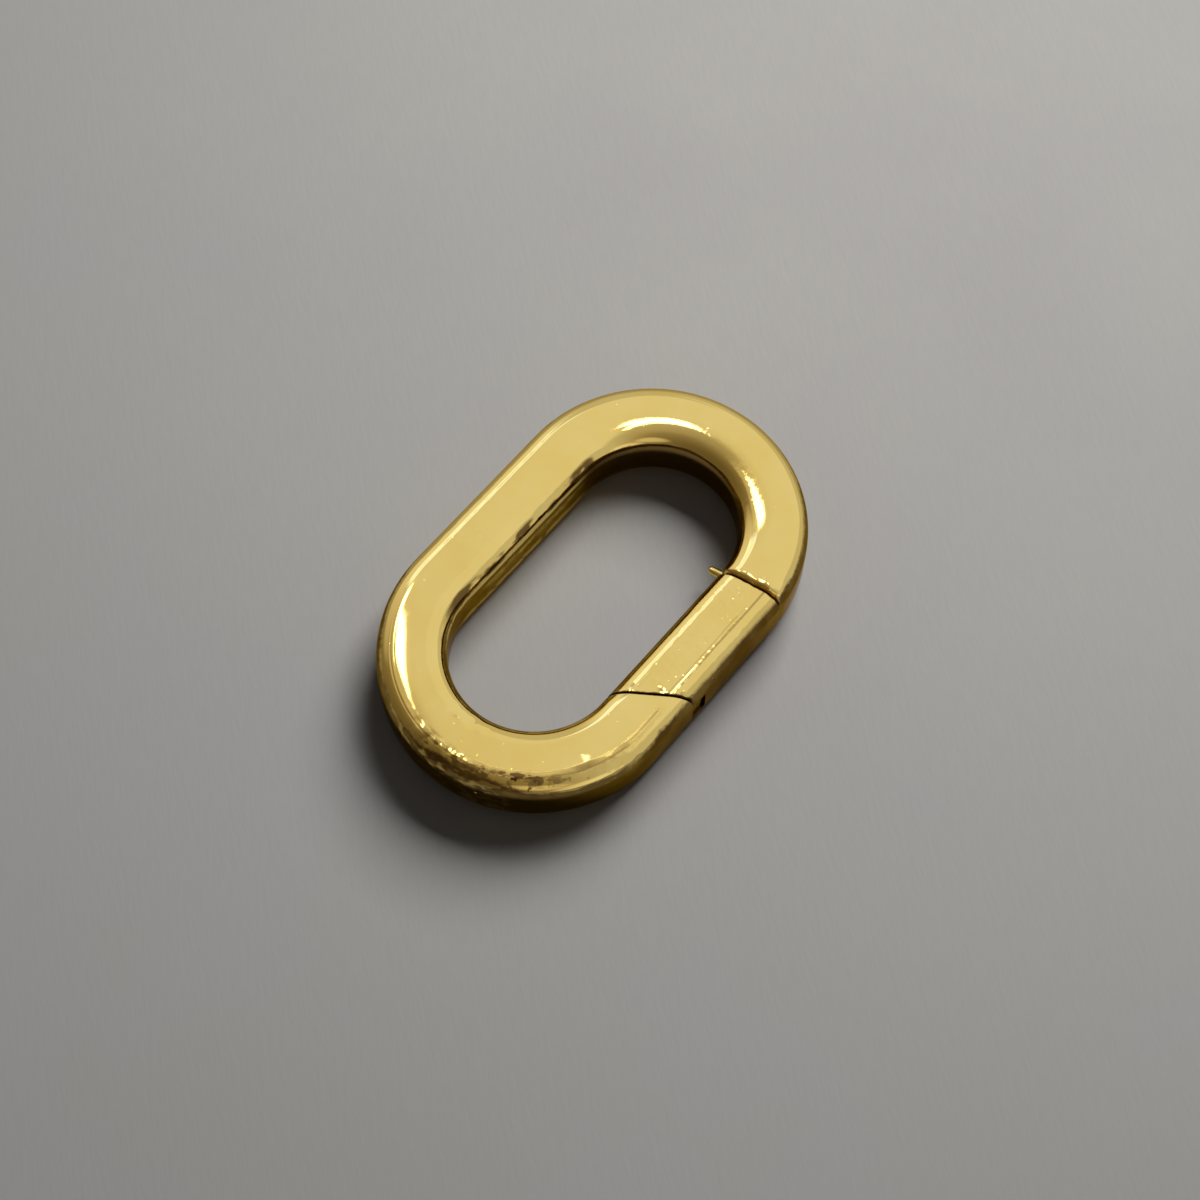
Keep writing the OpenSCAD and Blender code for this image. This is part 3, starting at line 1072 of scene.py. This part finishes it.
def makeCamera():
    fit = cameraFit
    rise, turn, roll = (radians(fit[key]) for key in ("elevation", "turn", "roll"))
    right = Vector((cos(turn), -sin(turn), 0))
    up = Vector((sin(turn) * sin(rise), cos(turn) * sin(rise), cos(rise)))
    back = Vector((-sin(turn) * cos(rise), -cos(turn) * cos(rise), sin(rise)))
    place = right * fit["acrossOffset"] + up * fit["upOffset"] + back * fit["distance"]
    data = bpy.data.cameras.new("camera")
    data.sensor_width = 36
    data.lens = data.sensor_width * fit["focalPixels"] / fit["imagePixels"]
    data.clip_start, data.clip_end = fit["clip"]
    camera = addThing("camera", data)
    rolledRight = right * cos(roll) - up * sin(roll)
    rolledUp = right * sin(roll) + up * cos(roll)
    axes = Matrix((rolledRight, rolledUp, back)).transposed()
    camera.matrix_world = Matrix.Translation(place * mm) @ axes.to_4x4()
    bpy.context.scene.camera = camera


floorShade = {
    # near and far: the floor's colour as a painted pool of light, near its centre and beyond its radius
    "near": (0.50, 0.49, 0.465, 1),
    "far": (0.34, 0.34, 0.335, 1),
    "cool": (0.42, 0.41, 0.44, 1),
    "fibre": (0.30, 0.30, 0.33, 1),
    "paintedLightCentre": (22.0, 6.0, 0.0),  # mm
    "paintedLightRadius": 75.0,
    "driftPerMm": 0.06,
    "coolAmount": 0.5,
    "fibreWay": 39.0,  # degrees
    "fibreStretch": (6.0, 0.8, 1.0),  # fibres for each mm
    "fibreAmount": 0.09,
    "fibreDepth": 0.0015,
    "roughness": 0.9,
    "specular": 0.1,
    "reach": 0.6,  # metres from the middle to each side
    "clearance": 0.00001,  # metres below the clasp
}


def makeFloor():
    shade = floorShade
    bm = bmesh.new()
    bmesh.ops.create_grid(bm, x_segments=1, y_segments=1, size=shade["reach"])
    bmesh.ops.translate(bm, vec=(0, 0, -shade["clearance"]), verts=bm.verts)
    floor = addMesh("floor", bm)

    tree, shader, material = newMaterial("floor_paper")
    position = positionInMm(tree)
    # painted pool of light: the floor's colour is brighter towards a centre on the key light's side and darker
    # further away
    distance = vectorMath(tree, "DISTANCE", position, shade["paintedLightCentre"])
    colour = mixColours(tree, fade(tree, distance, shade["paintedLightRadius"], 0.0), shade["far"], shade["near"])
    drift = fade(tree, noise(tree, position, shade["driftPerMm"], 4.0), -1.0, 1.0, 0.0, shade["coolAmount"])
    colour = mixColours(tree, drift, colour, shade["cool"])
    rotated = addNode(tree, "VectorRotate", {"Vector": position, "Angle": radians(shade["fibreWay"])},
                      rotation_type="Z_AXIS").outputs[0]
    fibres = noise(tree, vectorMath(tree, "MULTIPLY", rotated, shade["fibreStretch"]), 1.0, 4.0)
    colour = mixColours(tree, fade(tree, fibres, -1.0, 1.0, 0.0, shade["fibreAmount"]), colour, shade["fibre"])
    setInputs(tree, shader, {
        "Base Color": colour, "Roughness": shade["roughness"], "Specular IOR Level": shade["specular"],
        "Normal": addBump(tree, product(tree, fibres, shade["fibreDepth"]))})
    dress(floor, material)


# The room that the gold reflects. A ceiling panel's corners are given in metres across for each metre up, and
# soft is how wide its faded edge is.
ceilingPanels = {
    "softbox": dict(low=(0.13, 0.03), high=(0.265, 0.228), soft=0.018, glow=3.6),
    "softbox_end": dict(low=(0.12, -0.09), high=(0.18, 0.04), soft=0.01, glow=3.0),
    "second_softbox": dict(low=(0.02, 0.46), high=(0.29, 0.7), soft=0.025, glow=3.6),
    "second_glow": dict(low=(-0.2, 0.42), high=(0.27, 1.0), soft=0.1, glow=0.25),
    "skylight": dict(low=(0.31, 0.72), high=(0.68, 1.42), soft=0.06, glow=0.5, tint=(1.0, 1.38, 2.4)),
    "ceiling": dict(low=(0.15, -1.0), high=(2.6, 0.8), soft=0.1, glow=0.2),
}
# A bright place on a wall: the way it lies, its elevation, and how far it is full and reaches, in degrees
wallPanels = {
    "window": dict(way=82, elevation=22, full=12, reach=28, glow=0.3, tint=(1.0, 1.0, 1.1)),
    "door": dict(way=222, elevation=28, full=5, reach=18, glow=0.35),
    "low_door": dict(way=247, elevation=5, full=9, reach=22, glow=0.3),
}
keyLight = {
    "towards": (0.72, 0.11, 0.65),
    "distance": 300,
    "size": 172,
    "glow": 11.6,
    "tint": (1, 0.985, 0.95),
}
room = {
    "fill": 0.05,  # light that reaches the floor from all round
    "warmth": 0.48,  # how brown its darkest parts are
    "redness": 0.65,  # how much of that warmth goes to red
    "darkWay": (-0.94, 0.30, 0.16),  # the side of the room that has no light
    "ceilingEdge": (0.02, 0.06),  # how far up a direction points where the ceiling begins and is full
    # what gold mirrors, by how far it looks away from the dark way: from -1 to 1, straight into it
    "levels": [(-1.0, 0.57), (-0.1, 0.55), (0.2, 0.38), (0.4, 0.24), (0.65, 0.17), (0.85, 0.12), (1.0, 0.1)],
}


def addGlow(tree, colour, mask, glow, tint=(1, 1, 1)):
    return vectorMath(tree, "MULTIPLY_ADD", mask, Vector(tint) * glow, colour)


def addCeilingPanel(tree, colour, direction, low, high, soft, **light):
    parts = partsOf(tree, direction)
    lowest, full = room["ceilingEdge"]
    height = calculate(tree, "MAXIMUM", parts[2], lowest)
    mask = fade(tree, parts[2], lowest, full)
    for part, start, end in zip(parts, low, high):
        place = calculate(tree, "DIVIDE", part, height)
        mask = product(tree, mask, fade(tree, place, start - soft, start + soft),
                       fade(tree, place, end + soft, end - soft))
    return addGlow(tree, colour, mask, **light)


def addWallPanel(tree, colour, direction, way, elevation, full, reach, **light):
    turn, rise = radians(way), radians(elevation)
    middle = Vector((cos(turn) * cos(rise), sin(turn) * cos(rise), sin(rise)))
    near = vectorMath(tree, "DOT_PRODUCT", direction, middle)
    mask = fade(tree, near, cos(radians(reach)), cos(radians(full)))
    return addGlow(tree, colour, mask, **light)


def makeKeyLight():
    # lights the floor alone: the gold mirrors the room instead
    direction = Vector(keyLight["towards"]).normalized()
    data = bpy.data.lights.new("key", "AREA")
    data.size = keyLight["size"] * mm
    data.energy = keyLight["glow"] * pi * data.size ** 2
    data.color = keyLight["tint"]
    light = addThing("key", data)
    facing = direction.to_track_quat("Z", "Y").to_matrix().to_4x4()
    light.matrix_world = Matrix.Translation(direction * keyLight["distance"] * mm) @ facing
    light.visible_camera = False
    light.visible_glossy = False


def makeWorld():
    world = bpy.data.worlds.new("studio")
    bpy.context.scene.world = world
    world.use_nodes = True
    tree = world.node_tree
    direction = addNode(tree, "TexCoord").outputs["Generated"]
    darkness = vectorMath(tree, "DOT_PRODUCT", direction, Vector(room["darkWay"]).normalized())
    spread = addNode(tree, "MapRange", {"Value": darkness, "From Min": -1.0}).outputs[0]
    ramp = addNode(tree, "ValToRGB", {"Fac": spread})
    stops = ramp.color_ramp.elements
    for index, (at, level) in enumerate(room["levels"]):
        place = (at + 1) / 2
        stop = stops[index] if index < 2 else stops.new(place)
        stop.position = place
        warm = room["warmth"] * (1 - level / room["levels"][0][1])
        stop.color = (level * (1 + room["redness"] * warm), level, level * (1 - warm), 1)
    colour = ramp.outputs["Color"]
    for values in ceilingPanels.values():
        colour = addCeilingPanel(tree, colour, direction, **values)
    for values in wallPanels.values():
        colour = addWallPanel(tree, colour, direction, **values)
    seenInGold = addNode(tree, "LightPath").outputs["Is Glossy Ray"]
    fill = (room["fill"],) * 3 + (1,)
    setInputs(tree, tree.nodes["Background"], {"Color": mixColours(tree, seenInGold, fill, colour)})


makeCamera()
makeFloor()
makeWorld()
makeKeyLight()
bpy.context.scene.view_settings.view_transform = "Standard"
print("floor, lights and camera made")
